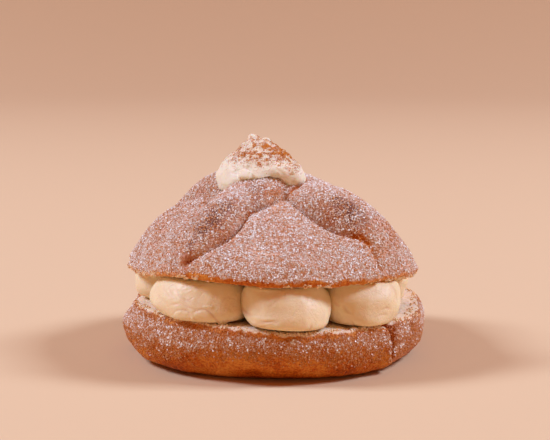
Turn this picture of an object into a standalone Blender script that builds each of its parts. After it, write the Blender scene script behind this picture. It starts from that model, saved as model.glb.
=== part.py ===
"""Pan de muerto, a round sweet bread cut through the middle and filled with piped cream.

The lower half stands on the table. A ring of cream dollops and one in the middle lie on its cut
face, the domed crown rests on them, and a peaked dollop of cream sits on the crown's summit. Two
ropes of dough, the bones, cross on the crown. They were baked on, so crown and bones are one
solid, and where a bone ran down past the knife its end is part of the lower half.

Metres, +Z up. The origin is the middle of the underside, and the bread's front faces -Y.
"""

from math import atan2, cos, exp, hypot, pi, radians, sin, sqrt

import bmesh
import bpy
from mathutils import Matrix, Vector

MM = 0.001
GAP = 0.3 * MM  # clearance between pieces that rest on each other

# The knife's two cuts. Each falls a little towards +X.
LOWER_CUT_HEIGHT = 20.2 * MM
LOWER_CUT_FALL = 0.035
UPPER_CUT_HEIGHT = 36.0 * MM
UPPER_CUT_FALL = 0.012

# The lower half: radius and height down its outer side, below the cut.
BREAD_RADIUS = 60.0 * MM
BASE_SIDE = [
    (57.2, 19.4), (58.9, 17.0), (59.8, 14.2), (59.9, 11.6), (59.0, 8.4),
    (56.9, 5.2), (53.6, 2.5), (50.0, 0.8), (46.8, 0.0),
]

# The crown: radius and height down its outer side, before the bones are laid on.
APEX_HEIGHT = 67.0 * MM
APEX_OFFSET = -6.0 * MM  # the dome rose off centre, towards -X
CROWN_SIDE = [
    (5.0, 66.9), (10.0, 66.2), (20.0, 63.4), (30.0, 59.0), (40.0, 53.2), (48.0, 47.5),
    (53.0, 43.0), (56.0, 39.3), (57.3, 37.0), (57.0, 35.6), (55.8, 34.6),
]
EDGE_DROOP = 2.6 * MM  # how far the crown's rim hangs at its left and right

# A bone is a rope of dough, wider than it is high. Stations: x, y, how far its middle line lies
# under the dome's skin, and its half-width, in millimetres, from its lower end over the summit.
BONE_FLATNESS = 0.66
OVER_BONE = [
    (-33.4, -44.0, 0.6, 2.4), (-31.6, -41.6, 1.0, 4.6), (-27.6, -38.2, 1.2, 7.4),
    (-22.6, -32.8, 1.2, 9.8), (-18.2, -26.6, 0.8, 10.8), (-11.6, -19.8, 0.6, 9.8),
    (-4.0, -13.6, 0.4, 10.2), (1.5, -4.5, 0.9, 9.4), (6.5, 6.0, 1.3, 9.2),
    (13.5, 16.0, 1.0, 10.6), (21.0, 24.5, 1.2, 10.4), (27.6, 30.6, 2.8, 8.6),
    (32.0, 34.0, 4.4, 8.0),
]
UNDER_BONE = [
    (43.0, -21.6, 5.0, 9.0), (39.0, -21.2, 2.6, 10.0), (33.4, -20.8, 0.6, 11.2),
    (26.6, -20.2, -1.2, 12.2), (19.8, -18.4, -1.0, 12.2), (13.0, -14.0, 0.8, 9.4),
    (6.0, -8.0, 4.6, 7.6), (-6.0, 0.5, 3.2, 8.6), (-15.0, 5.4, 1.0, 10.4),
    (-24.0, 8.0, 1.2, 10.4), (-31.0, 9.6, 2.2, 9.6), (-37.0, 11.0, 4.0, 8.2),
    (-41.6, 12.0, 5.0, 7.0),
]
# A knuckle is the flattened knob at a bone's end: x, y, how far its middle lies under the skin,
# then its half-size across the bone, down the slope and square to the skin, in millimetres.
KNUCKLES = [
    (45.0, -24.2, 4.2, 17.0, 16.0, 7.6), (35.6, 37.4, 3.6, 12.0, 13.0, 7.2),
    (-46.8, 13.4, 4.6, 10.2, 13.0, 6.8),
]

# The ends of three bones on the lower half: azimuth from the front, towards +X, and half-width.
BONE_ENDS = [(radians(66), 16.0 * MM), (radians(-106), 11.0 * MM), (radians(135), 12.0 * MM)]
BONE_END_REACH = 61.0 * MM  # how far its outermost point lies from the bread's axis
BONE_END_DEPTH = 11.0 * MM
BONE_END_HEIGHT = 18.0 * MM
BONE_END_LENGTH = 15.0 * MM
FOLD_AZIMUTH = radians(49)  # where the bread's front swelled over the first bone's side
FOLD_DEPTH = 4.2 * MM
FOLD_WIDTH = 2.6 * MM

# The cream dollops: x, y, half-length round the ring, half-depth and turn from the ring in degrees.
RING_DOLLOPS = [
    (4.4, -41.8, 16.6, 15.0, 2), (34.0, -29.6, 15.2, 14.0, -4), (40.6, 3.4, 14.2, 13.4, 3),
    (29.6, 31.4, 14.8, 13.8, -3), (-1.6, 42.0, 15.6, 13.8, 4), (-31.0, 32.0, 14.8, 14.0, -2),
    (-42.0, 5.6, 13.8, 13.6, 5), (-30.4, -30.6, 18.6, 15.0, -4),
]
MIDDLE_DOLLOP = (-0.4, 0.6, 23.6, 23.2, 0)

# The cream on the summit, from its foot to its tip: height, half-width and how far the middle of
# the section lies from the dollop's axis along X, in millimetres.
TOPPER_AXIS = (-5.8 * MM, -1.0 * MM)
TOPPER_SECTIONS = [
    (57.0, 13.6, 0.0), (61.0, 15.6, 0.0), (65.0, 17.0, 0.0), (68.4, 17.7, 0.0), (71.2, 17.4, 0.0),
    (74.2, 15.8, 0.0), (76.8, 13.2, -0.1), (79.0, 10.6, -0.3), (81.0, 8.2, -0.5),
    (82.9, 6.0, -1.1), (84.4, 4.2, -2.2), (85.6, 2.5, -3.3), (86.3, 1.0, -3.9),
]


def clear_scene():
    for obj in list(bpy.data.objects):
        bpy.data.objects.remove(obj)


def collection(name):
    made = bpy.data.collections.new(name)
    bpy.context.scene.collection.children.link(made)
    return made


def material(name, colour, roughness):
    made = bpy.data.materials.new(name)
    made.use_nodes = True
    shader = made.node_tree.nodes["Principled BSDF"]
    shader.inputs["Base Color"].default_value = (*colour, 1.0)
    shader.inputs["Roughness"].default_value = roughness
    shader.inputs["Metallic"].default_value = 0.0
    return made


def add_object(name, data, into):
    obj = bpy.data.objects.new(name, data)
    into.objects.link(obj)
    return obj


def as_mesh(obj, name, into):
    """The object as its modifiers leave it, as a new mesh object in the same place. The first is removed."""
    bpy.context.view_layer.update()
    evaluated = obj.evaluated_get(bpy.context.evaluated_depsgraph_get())
    mesh = bpy.data.meshes.new_from_object(evaluated)
    made = add_object(name, mesh, into)
    made.matrix_world = obj.matrix_world
    bpy.data.objects.remove(obj)
    return made


def tidy(obj):
    """Merges doubled vertices, such as a curve's caps, and points the faces outwards."""
    work = bmesh.new()
    work.from_mesh(obj.data)
    bmesh.ops.remove_doubles(work, verts=work.verts, dist=0.01 * MM)
    bmesh.ops.recalc_face_normals(work, faces=work.faces)
    work.to_mesh(obj.data)
    work.free()


def move_points(obj, place):
    for vertex in obj.data.vertices:
        vertex.co = place(vertex.co)


def finish(obj, look):
    """Puts the material on and shades the rounded faces smooth."""
    obj.data.materials.clear()
    obj.data.materials.append(look)
    obj.data.shade_smooth()
    obj.data.set_sharp_from_angle(angle=radians(40))


def guide(obj):
    """Marks a cutter or a section, which isn't part of the bread."""
    obj.hide_render = True
    obj.display_type = "WIRE"
    return obj


def boolean(obj, other, operation):
    modifier = obj.modifiers.new(operation.lower(), "BOOLEAN")
    modifier.operation = operation
    modifier.solver = "EXACT"
    modifier.object = other


def turned(name, side, steps, into):
    """A solid turned about Z. side runs down from the axis over the outer side to the axis."""
    mesh = bpy.data.meshes.new(name)
    mesh.from_pydata([(r, 0, z) for r, z in side], [(i, i + 1) for i in range(len(side) - 1)], [])
    obj = add_object(name, mesh, into)
    screw = obj.modifiers.new("turn", "SCREW")
    screw.angle = 2 * pi
    screw.steps = screw.render_steps = steps
    screw.use_merge_vertices = True
    screw.merge_threshold = 0.01 * MM
    made = as_mesh(obj, name, into)
    tidy(made)
    return made


def smoothstep(low, high, value):
    share = min(1.0, max(0.0, (value - low) / (high - low)))
    return share * share * (3 - 2 * share)


def azimuth_of(x, y):
    """Angle round the bread from its front, positive towards +X."""
    return atan2(x, -y)


def turned_towards(azimuth, reach):
    return Vector((reach * sin(azimuth), -reach * cos(azimuth), 0))


def lower_cut(x):
    return LOWER_CUT_HEIGHT - LOWER_CUT_FALL * x


def upper_cut(x):
    return UPPER_CUT_HEIGHT - UPPER_CUT_FALL * x


def knife(name, height, fall, above, into):
    """A disc with one face on a cut. It lies above the cut or below it.

    A ring of edges runs round the face inside the bread's rim, so that the rim alone can droop.
    """
    ring, reach, thickness = BREAD_RADIUS - 10 * MM, 1.6 * BREAD_RADIUS, BREAD_RADIUS
    if above:
        side = [(0, thickness), (reach, thickness), (reach, 0), (ring, 0), (0, 0)]
    else:
        side = [(0, 0), (ring, 0), (reach, 0), (reach, -thickness), (0, -thickness)]
    disc = turned(name, side, 48, into)
    move_points(disc, lambda co: Vector((co.x, co.y, co.z + height - fall * co.x)))
    return guide(disc)


def uneven(azimuth, amount):
    """A hand-shaped bread's share of error in radius at this azimuth."""
    return 1 + amount * (
        sin(2 * azimuth + 0.7) + 0.6 * sin(3 * azimuth - 1.9) + 0.35 * sin(5 * azimuth + 0.4)
    )


# ---- Crown


def between(table, value):
    """Linear reading of a table of (value, result) pairs."""
    if value <= table[0][0]:
        return table[0][1]
    for (v0, r0), (v1, r1) in zip(table, table[1:]):
        if value <= v1:
            return r0 + (r1 - r0) * (value - v0) / (v1 - v0)
    return table[-1][1]


def lean(height):
    """How far the dome's middle lies from the axis along X at this height."""
    rise = (height - UPPER_CUT_HEIGHT) / (APEX_HEIGHT - UPPER_CUT_HEIGHT)
    return APEX_OFFSET * max(0.0, rise)


def dome_height(x, y):
    """Height of the dome's skin over a point of the plan."""
    skin = [(0.0, APEX_HEIGHT)] + [(r * MM, z * MM) for r, z in CROWN_SIDE[:-2]]
    height = UPPER_CUT_HEIGHT
    for _ in range(8):
        height = between(skin, hypot(x - lean(height), y))
    return height


def skin_at(x, y):
    """The point of the dome's skin over x, y, and the direction square to the skin there."""
    step = 0.5 * MM
    slope_x = (dome_height(x + step, y) - dome_height(x - step, y)) / (2 * step)
    slope_y = (dome_height(x, y + step) - dome_height(x, y - step)) / (2 * step)
    return Vector((x, y, dome_height(x, y))), Vector((-slope_x, -slope_y, 1)).normalized()


def smooth_route(stations, parts):
    """Catmull-Rom points through the stations, each a tuple of numbers."""
    rows = [stations[0], *stations, stations[-1]]
    route = []
    for before, start, end, after in zip(rows, rows[1:], rows[2:], rows[3:]):
        for i in range(parts):
            t = i / parts
            route.append(tuple(
                0.5 * (2 * b + (c - a) * t + (2 * a - 5 * b + 4 * c - d) * t**2
                       + (3 * b - a - 3 * c + d) * t**3)
                for a, b, c, d in zip(before, start, end, after)
            ))
    return route + [stations[-1]]


def rope(name, points, widths, into, sections):
    """A rope of dough through the points: an oval section that keeps upright, with closed ends."""
    outline = bpy.data.curves.new(name + "_section", "CURVE")
    outline.dimensions = "2D"
    oval = outline.splines.new("POLY")
    sides = 16
    oval.points.add(sides - 1)
    for i, point in enumerate(oval.points):
        turn = 2 * pi * i / sides
        point.co = (cos(turn), BONE_FLATNESS * sin(turn), 0, 1)
    oval.use_cyclic_u = True
    section = guide(add_object(name + "_section", outline, sections))

    curve = bpy.data.curves.new(name, "CURVE")
    curve.dimensions = "3D"
    curve.twist_mode = "Z_UP"
    curve.bevel_mode = "OBJECT"
    curve.bevel_object = section
    curve.use_fill_caps = True
    line = curve.splines.new("POLY")
    line.points.add(len(points) - 1)
    for point, place, width in zip(line.points, points, widths):
        point.co = (*place, 1)
        point.radius = width
    made = as_mesh(add_object(name, curve, into), name, into)
    tidy(made)
    return guide(made)


def bone(name, stations, grow, into):
    """A bone over the crown. grow fattens it, for the cutter that fits cream to the crown."""
    route = smooth_route([tuple(value * MM for value in row) for row in stations], 3)
    points = []
    for x, y, sunk, _ in route:
        skin, square = skin_at(x, y)
        points.append(skin - sunk * square)
    return rope(name, points, [width + grow for _, _, _, width in route], into, into)


def flattened_ball(name, matrix, into):
    mesh = bpy.data.meshes.new(name)
    work = bmesh.new()
    bmesh.ops.create_uvsphere(work, u_segments=24, v_segments=14, radius=1.0)
    bmesh.ops.transform(work, matrix=matrix, verts=work.verts)
    work.to_mesh(mesh)
    work.free()
    return guide(add_object(name, mesh, into))


def knuckle(name, place, grow, into):
    """The knob at a bone's end, lying in the skin."""
    x, y, sunk, across, along, thick = [value * MM for value in place]
    skin, square = skin_at(x, y)
    level = Vector((0, 0, 1)).cross(square).normalized()
    axes = Matrix((level, square.cross(level), square)).transposed().to_4x4()
    size = Matrix.Diagonal((across + grow, along + grow, thick + grow, 1))
    return flattened_ball(name, Matrix.Translation(skin - sunk * square) @ axes @ size, into)


def crown_solid(name, grow, into, helpers):
    """The dome with its bones, cut flat underneath. grow makes it that much larger all over."""
    skin = [(r * MM + 0.7 * grow, z * MM + 0.7 * grow) for r, z in CROWN_SIDE]
    floor = UPPER_CUT_HEIGHT - 4 * MM
    side = [(0, APEX_HEIGHT + grow), *skin, (54 * MM, floor), (0, floor)]
    dome = turned(name + "_dome", side, 60, into)
    move_points(dome, lambda co: Vector((
        co.x * uneven(azimuth_of(co.x, co.y), 0.004) + lean(co.z),
        co.y * uneven(azimuth_of(co.x, co.y), 0.004),
        co.z,
    )))
    for label, stations in (("under", UNDER_BONE), ("over", OVER_BONE)):
        boolean(dome, bone(f"{name}_{label}_bone", stations, grow, helpers), "UNION")
    for i, place in enumerate(KNUCKLES):
        boolean(dome, knuckle(f"{name}_knuckle_{i + 1}", place, grow, helpers), "UNION")
    boolean(
        dome,
        knife(name + "_knife", UPPER_CUT_HEIGHT, UPPER_CUT_FALL, False, helpers),
        "DIFFERENCE",
    )
    made = as_mesh(dome, name, into)

    def droop(co):
        reach = hypot(co.x, co.y)
        side_share = (co.x / max(reach, MM)) ** 4
        low = 1 - smoothstep(upper_cut(co.x), upper_cut(co.x) + 12 * MM, co.z)
        rim = smoothstep(BREAD_RADIUS - 9 * MM, BREAD_RADIUS - 3 * MM, reach)
        return Vector((co.x, co.y, co.z - EDGE_DROOP * side_share * rim * low))

    move_points(made, droop)
    tidy(made)
    return made


# ---- Lower half


def bone_end(name, azimuth, width, into):
    """The end of a bone that ran down the lower half's side: a long lobe set into the side."""
    place = turned_towards(azimuth, BONE_END_REACH - BONE_END_DEPTH)
    place.z = BONE_END_HEIGHT
    size = Matrix.Diagonal((width, BONE_END_DEPTH, BONE_END_LENGTH, 1))
    turn = Matrix.Rotation(azimuth, 4, "Z")
    return flattened_ball(name, Matrix.Translation(place) @ turn @ size, into)


def fold_cutter(into):
    """A thin upright wedge that makes the crease beside the first bone's end."""
    mesh = bpy.data.meshes.new("fold_wedge")
    work = bmesh.new()
    bmesh.ops.create_cone(
        work, cap_ends=True, segments=3, radius1=FOLD_WIDTH, radius2=FOLD_WIDTH, depth=30 * MM
    )
    outwards = turned_towards(FOLD_AZIMUTH, 1.0)
    stretch = Matrix.Rotation(FOLD_AZIMUTH, 4, "Z") @ Matrix.Diagonal((0.42, FOLD_DEPTH / FOLD_WIDTH, 1, 1))
    bmesh.ops.transform(work, matrix=stretch, verts=work.verts)
    place = outwards * (BREAD_RADIUS - 0.2 * MM) + Vector((0, 0, 19 * MM))
    bmesh.ops.translate(work, vec=place, verts=work.verts)
    bmesh.ops.recalc_face_normals(work, faces=work.faces)
    work.to_mesh(mesh)
    work.free()
    return guide(add_object("fold_wedge", mesh, into))


def lower_half(into, helpers):
    top = LOWER_CUT_HEIGHT + 5 * MM
    side = [(0, top), (56.6 * MM, top), *[(r * MM, z * MM) for r, z in BASE_SIDE], (0, 0)]
    body = turned("lower_half_body", side, 72, into)
    move_points(body, lambda co: Vector((
        co.x * uneven(azimuth_of(co.x, co.y), 0.004),
        co.y * uneven(azimuth_of(co.x, co.y), 0.004),
        co.z,
    )))
    for i, (azimuth, width) in enumerate(BONE_ENDS):
        boolean(body, bone_end(f"bone_end_{i + 1}", azimuth, width, helpers), "UNION")
    boolean(body, fold_cutter(helpers), "DIFFERENCE")
    boolean(
        body,
        knife("lower_knife", LOWER_CUT_HEIGHT, LOWER_CUT_FALL, True, helpers),
        "DIFFERENCE",
    )
    made = as_mesh(body, "lower_half", into)
    tidy(made)
    return made


# ---- Cream


def dollop(name, x, y, length, depth, turn, into):
    """A mound of piped cream pressed flat between the two cut faces, with bulging sides."""
    mesh = bpy.data.meshes.new(name)
    work = bmesh.new()
    bmesh.ops.create_uvsphere(work, u_segments=20, v_segments=10, radius=1.0)
    along = azimuth_of(x, y) + radians(turn)
    for vertex in work.verts:
        level = max(-1.0, min(1.0, 1.16 * vertex.co.z))
        swell = (1 - abs(vertex.co.z) ** (4.4 if vertex.co.z < 0 else 3.0)) ** 0.5
        angle = atan2(vertex.co.y, vertex.co.x)
        spread = swell * (1 + 0.025 * sin(3 * angle + 2.2 * level + 40 * x / MM))
        across = Vector((cos(angle) * length * spread, sin(angle) * depth * spread, 0))
        place = Vector((x, y, 0)) + Matrix.Rotation(along, 3, "Z") @ across
        low, high = lower_cut(place.x) + GAP, upper_cut(place.x) - GAP
        place.z = low + (high - low) * (level + 1) / 2
        vertex.co = place
    work.to_mesh(mesh)
    work.free()
    return add_object(name, mesh, into)


def topper(crown_cutter, into):
    """The summit's dollop: a mound drawn up to an off-centre tip, its foot fitted to the crown."""
    mesh = bpy.data.meshes.new("cream_topper")
    work = bmesh.new()
    sides = 28
    rings = []
    for height, width, offset in TOPPER_SECTIONS:
        ring = []
        for i in range(sides):
            angle = 2 * pi * i / sides
            spread = width * MM * (1 + 0.03 * sin(3 * angle + 0.9) + 0.02 * sin(5 * angle - height))
            ring.append(work.verts.new((
                TOPPER_AXIS[0] + offset * MM + cos(angle) * spread,
                TOPPER_AXIS[1] + 0.94 * sin(angle) * spread,
                height * MM,
            )))
        rings.append(ring)
    for low, high in zip(rings, rings[1:]):
        for i in range(sides):
            j = (i + 1) % sides
            work.faces.new((low[i], low[j], high[j], high[i]))
    work.faces.new(rings[0])
    work.faces.new(rings[-1])
    bmesh.ops.recalc_face_normals(work, faces=work.faces)
    work.to_mesh(mesh)
    work.free()
    mound = add_object("topper_mound", mesh, into)
    boolean(mound, crown_cutter, "DIFFERENCE")
    made = as_mesh(mound, "cream_topper", into)
    tidy(made)
    return made


def main():
    clear_scene()
    parts = collection("pan_de_muerto")
    helpers = collection("cutters")
    crust = material("baked_crust", (0.46, 0.20, 0.09), 0.75)
    cream = material("piped_cream", (0.83, 0.71, 0.52), 0.45)

    finish(lower_half(parts, helpers), crust)
    finish(crown_solid("crown", 0.0, parts, helpers), crust)
    for i, (x, y, length, depth, turn) in enumerate(RING_DOLLOPS):
        made = dollop(
            f"cream_dollop_{i + 1}", x * MM, y * MM, length * MM, depth * MM, turn, parts
        )
        finish(made, cream)
    x, y, length, depth, turn = MIDDLE_DOLLOP
    finish(dollop("cream_middle", x * MM, y * MM, length * MM, depth * MM, turn, parts), cream)
    cutter = guide(crown_solid("crown_cutter", GAP, helpers, helpers))
    finish(topper(cutter, parts), cream)


main()
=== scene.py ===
import math

import bpy
import numpy as np
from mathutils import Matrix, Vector, kdtree, noise


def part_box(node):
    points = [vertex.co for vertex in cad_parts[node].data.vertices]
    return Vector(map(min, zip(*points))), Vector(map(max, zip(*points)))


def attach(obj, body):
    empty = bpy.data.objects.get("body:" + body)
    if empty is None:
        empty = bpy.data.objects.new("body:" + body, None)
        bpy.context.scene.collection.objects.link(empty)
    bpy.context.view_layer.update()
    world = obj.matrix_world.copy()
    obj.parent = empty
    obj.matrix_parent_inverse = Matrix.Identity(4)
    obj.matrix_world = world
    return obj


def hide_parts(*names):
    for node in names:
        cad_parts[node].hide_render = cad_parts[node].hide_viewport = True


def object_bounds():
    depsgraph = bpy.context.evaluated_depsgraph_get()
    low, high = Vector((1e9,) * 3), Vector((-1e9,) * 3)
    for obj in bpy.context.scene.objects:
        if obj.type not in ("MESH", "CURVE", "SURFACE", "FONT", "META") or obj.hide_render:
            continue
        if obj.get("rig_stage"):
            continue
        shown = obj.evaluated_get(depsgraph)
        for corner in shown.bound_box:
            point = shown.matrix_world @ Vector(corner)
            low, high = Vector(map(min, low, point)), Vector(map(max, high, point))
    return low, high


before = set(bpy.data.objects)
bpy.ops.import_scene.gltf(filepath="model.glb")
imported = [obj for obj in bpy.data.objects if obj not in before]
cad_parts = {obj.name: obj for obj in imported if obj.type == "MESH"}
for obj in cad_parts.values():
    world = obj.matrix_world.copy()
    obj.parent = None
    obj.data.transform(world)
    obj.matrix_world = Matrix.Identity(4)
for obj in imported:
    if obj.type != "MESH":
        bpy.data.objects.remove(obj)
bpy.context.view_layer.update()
bpy.ops.object.select_all(action="DESELECT")


# ======================================
# Lower half
# The bottom of a yeast bun, baked on a tray, buttered, rolled in sugar and then cut level with a
# bread knife. Its side swelled over the end of a bone at the front right, which left a crease.
# ======================================

MM = 0.001
BREAD_VOXEL = 0.62 * MM  # finer than the ripples that a thumb would feel in the crust
base_low, base_high = [Vector(corner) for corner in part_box("lower_half")]
BREAD_RADIUS = (base_high.x - base_low.x) / 2


def activate(piece):
    bpy.ops.object.select_all(action="DESELECT")
    piece.select_set(True)
    bpy.context.view_layer.objects.active = piece


def copy_of_node(node, name):
    """A new piece with the shape of a solid of the frame, its triangles merged into one skin."""
    activate(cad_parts[node])
    bpy.ops.object.duplicate()
    piece = bpy.context.view_layer.objects.active
    piece.name = piece.data.name = name
    piece.data.materials.clear()
    for key in [key for key in piece.keys() if key.startswith("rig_")]:
        del piece[key]
    bpy.ops.object.mode_set(mode="EDIT")
    bpy.ops.mesh.select_all(action="SELECT")
    bpy.ops.mesh.customdata_custom_splitnormals_clear()
    bpy.ops.mesh.remove_doubles(threshold=0.01 * MM)
    bpy.ops.object.mode_set(mode="OBJECT")
    return piece


def modify(piece, kind, **settings):
    """Adds a modifier with its settings and applies it."""
    activate(piece)
    modifier = piece.modifiers.new(kind.title(), kind)
    for name, value in settings.items():
        setattr(modifier, name, value)
    bpy.ops.object.modifier_apply(modifier=modifier.name)


def points(piece):
    co = np.empty(len(piece.data.vertices) * 3, np.float32)
    piece.data.vertices.foreach_get("co", co)
    return co.reshape(-1, 3).astype(float)


def move_points(piece, co):
    piece.data.vertices.foreach_set("co", co.astype(np.float32).ravel())
    piece.data.update()


def outwards(piece):
    """The direction square to the skin at each point."""
    out = np.empty(len(piece.data.vertices) * 3, np.float32)
    piece.data.vertex_normals.foreach_get("vector", out)
    return out.reshape(-1, 3).astype(float)


def smoothstep(low, high, value):
    share = np.clip((value - low) / (high - low), 0, 1)
    return share * share * (3 - 2 * share)


def bell(value):
    """1 where the value is 0, dying away to nothing by about 2."""
    return np.exp(-(value**2))


def reach_of(co):
    """How far each point lies from the upright middle line."""
    return np.hypot(co[:, 0], co[:, 1])


def from_spot(co, x, z, half_width, half_height):
    """How far each point lies from a spot, seen from the front. The spot's edge is at 1."""
    return np.hypot((co[:, 0] - x) / half_width, (co[:, 2] - z) / half_height)


def lumps(co, size, seed=0.0):
    """Smooth noise from about -1 to 1 at each point, with lumps of this size. size may differ by axis."""
    return 2 * np.array([noise.noise(Vector(p)) for p in co / np.array(size) + seed])


def keep(piece, **layers):
    """Stores numbers for each point, for the materials and the scattered pieces to read."""
    for name, values in layers.items():
        piece.data.attributes.new(name, "FLOAT", "POINT").data.foreach_set(
            "value", values.astype(np.float32)
        )


def weights(piece, name, values):
    """A vertex group with these weights, for a modifier to read."""
    group = piece.vertex_groups.new(name=name)
    levels = np.round(np.clip(values, 0, 1) * 20).astype(int)
    for level in range(1, 21):
        group.add(np.nonzero(levels == level)[0].tolist(), level / 20, "REPLACE")
    return group.name


def around(co, table):
    """Reads a table of (azimuth from the front in degrees, value) at each point."""
    degrees, values = np.array(table, float).T
    return np.interp(np.degrees(np.arctan2(co[:, 0], -co[:, 1])), degrees, values)


def knife_cut(piece, facing):
    """1 on the flat knife cut and 0 on the crust. facing is 1 for a cut that looks up, -1 for down."""
    co, out = points(piece), outwards(piece)
    within_rim = reach_of(co) < BREAD_RADIUS * 0.985
    return smoothstep(0.90, 0.97, facing * out[:, 2]) * within_rim


def pores(co, seed):
    """Depth of the holes that a knife opens in the crumb: many small ones and a few wide ones."""
    small = np.clip(lumps(co, 2.0 * MM, seed) - 0.2, 0, 1)
    wide = np.clip(lumps(co, 4.2 * MM, seed + 9) - 0.45, 0, 1)
    return 0.25 * MM * small + 0.5 * MM * wide


lower_half = copy_of_node("lower_half", "lower_half_bread")
modify(lower_half, "REMESH", mode="VOXEL", voxel_size=BREAD_VOXEL)

# Its foot spread on the tray, more at the left and right than in front. Its left shoulder fell in
# under the rim, its sides bulge at half height, and its cut rim isn't level.
# Azimuth from the front in degrees, then millimetres.
FOOT_SPREAD = [
    (-180, 2.0), (-81, 3.6), (-50, 3.8), (-37, 2.4), (-21, 1.5), (-12, 0.1), (-2, 0.0), (11, 1.0),
    (22, 3.0), (37, 4.0), (47, 4.6), (58, 3.3), (90, 3.0), (180, 2.0),
]
SHOULDER_FALL = [(-180, 0), (-130, 0), (-108, 3.6), (-90, 1.6), (-76, 0), (180, 0)]
SIDE_BULGE = [
    (-180, 0), (-110, 0.6), (-85, 1.1), (-60, 0.4), (-40, 0), (60, 0), (85, 0.6), (180, 0),
]
RIM_HEIGHT = [
    (-180, -1.0), (-120, -3.4), (-98, -2.6), (-78, 0.0), (-21, 0.4), (-12, 0.1), (-5, -0.4), (4, -0.9),
    (12, -0.8), (20, -0.3), (40, 0.0), (60, 0.4), (80, 1.4), (110, 1.8), (140, 0.8), (180, -1.0),
]
RIM_TOP, RIM_FALL = 20.2 * MM, 0.035  # the rim's height in the middle, and its fall to the right


def sway_of_rim(co):
    return around(co, RIM_HEIGHT) * MM * smoothstep(0.72, 0.95, reach_of(co) / BREAD_RADIUS)


def below_the_rim(co):
    """How far each point lies under the cut rim of the lower half."""
    return RIM_TOP - RIM_FALL * co[:, 0] + sway_of_rim(co) - co[:, 2]


co = points(lower_half)
reach = reach_of(co)
spread = around(co, FOOT_SPREAD) * MM * smoothstep(11 * MM, 0.5 * MM, co[:, 2])
spread -= around(co, SHOULDER_FALL) * MM * smoothstep(11 * MM, 20 * MM, co[:, 2])
spread += around(co, SIDE_BULGE) * MM * bell((co[:, 2] - 13 * MM) / (7 * MM))
co[:, :2] *= (1 + spread * smoothstep(0.5, 0.8, reach / BREAD_RADIUS) / np.maximum(reach, MM))[:, None]
co[:, 2] += sway_of_rim(co) * smoothstep(6 * MM, 19 * MM, co[:, 2])
move_points(lower_half, co)

# The crease beside the bone's end: the front swelled out over it, and the bone's end sank back.
FOLD_AZIMUTH = math.radians(44.0)
FOLD_DRIFT = math.radians(4)  # the crease runs back as it goes down
SWELL, SWELL_SPREAD = 1.8 * MM, 7 * MM
SINK = 4.5 * MM
WEDGE_LOW, WEDGE_HIGH = 1.0 * MM, 10.5 * MM  # how wide the crease gapes at the foot and at the rim


def round_the_fold(co):
    """How far each point lies past the crease's ragged edge, and how wide the crease gapes there."""
    height_share = np.clip(co[:, 2] / base_high.z, 0, 1)
    azimuth = np.arctan2(co[:, 0], -co[:, 1]) - FOLD_AZIMUTH - FOLD_DRIFT * (1 - height_share)
    past_fold = azimuth * BREAD_RADIUS + 0.35 * MM * lumps(co, 2.6 * MM, 66)
    return past_fold, WEDGE_LOW + (WEDGE_HIGH - WEDGE_LOW) * height_share


co = points(lower_half)
reach = reach_of(co)
past_fold, gape = round_the_fold(co)
skin = smoothstep(0.62, 0.93, reach / BREAD_RADIUS) * smoothstep(0.5 * MM, 4 * MM, co[:, 2])
swell = SWELL * np.exp(-np.abs(past_fold) / SWELL_SPREAD) * (past_fold < 0)
sink = SINK * np.clip(1 - past_fold / gape, 0, 1) * (past_fold > 0)
co[:, :2] *= (1 + skin * (swell - sink) / np.maximum(reach, MM))[:, None]
move_points(lower_half, co)
modify(lower_half, "REMESH", mode="VOXEL", voxel_size=BREAD_VOXEL)

# The baked side is soft and a little lumpy. The cut face stays flat, up to a crisp rim, and the
# crease keeps its edge.
DIMPLE = (-7.5, 3.5, 4.0, 2.0, 0.7)  # low in front: x, height, half-width, half-height, depth, in mm
cut = knife_cut(lower_half, 1)
co = points(lower_half)
foot = smoothstep(0.6 * MM, 0.1 * MM, co[:, 2])
at_fold = 0.9 * bell(round_the_fold(co)[0] / (1.8 * MM))
modify(
    lower_half, "SMOOTH", factor=0.5, iterations=24,
    vertex_group=weights(lower_half, "rounded", 1 - np.maximum(np.maximum(cut, foot), at_fold)),
)
cut = knife_cut(lower_half, 1)
co, out = points(lower_half), outwards(lower_half)
crust = (1 - cut) * smoothstep(0.2 * MM, 2.5 * MM, co[:, 2])
*dimple, depth = np.array(DIMPLE) * MM
dent = bell(from_spot(co, *dimple)) * (co[:, 1] < 0)
grainy = 0.10 * MM * lumps(co, 1.1 * MM, 13) * smoothstep(12 * MM, 3 * MM, co[:, 2]) * (1 - dent)
lumpy = 0.45 * MM * lumps(co, 17 * MM) + 0.16 * MM * lumps(co, 4 * MM, 3)
co += out * (crust * (lumpy + grainy - depth * dent))[:, None]
reach = reach_of(co)
holes = cut * smoothstep(0.985, 0.93, reach / BREAD_RADIUS) * pores(co, 20)
co[:, 2] -= holes
move_points(lower_half, co)

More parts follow.
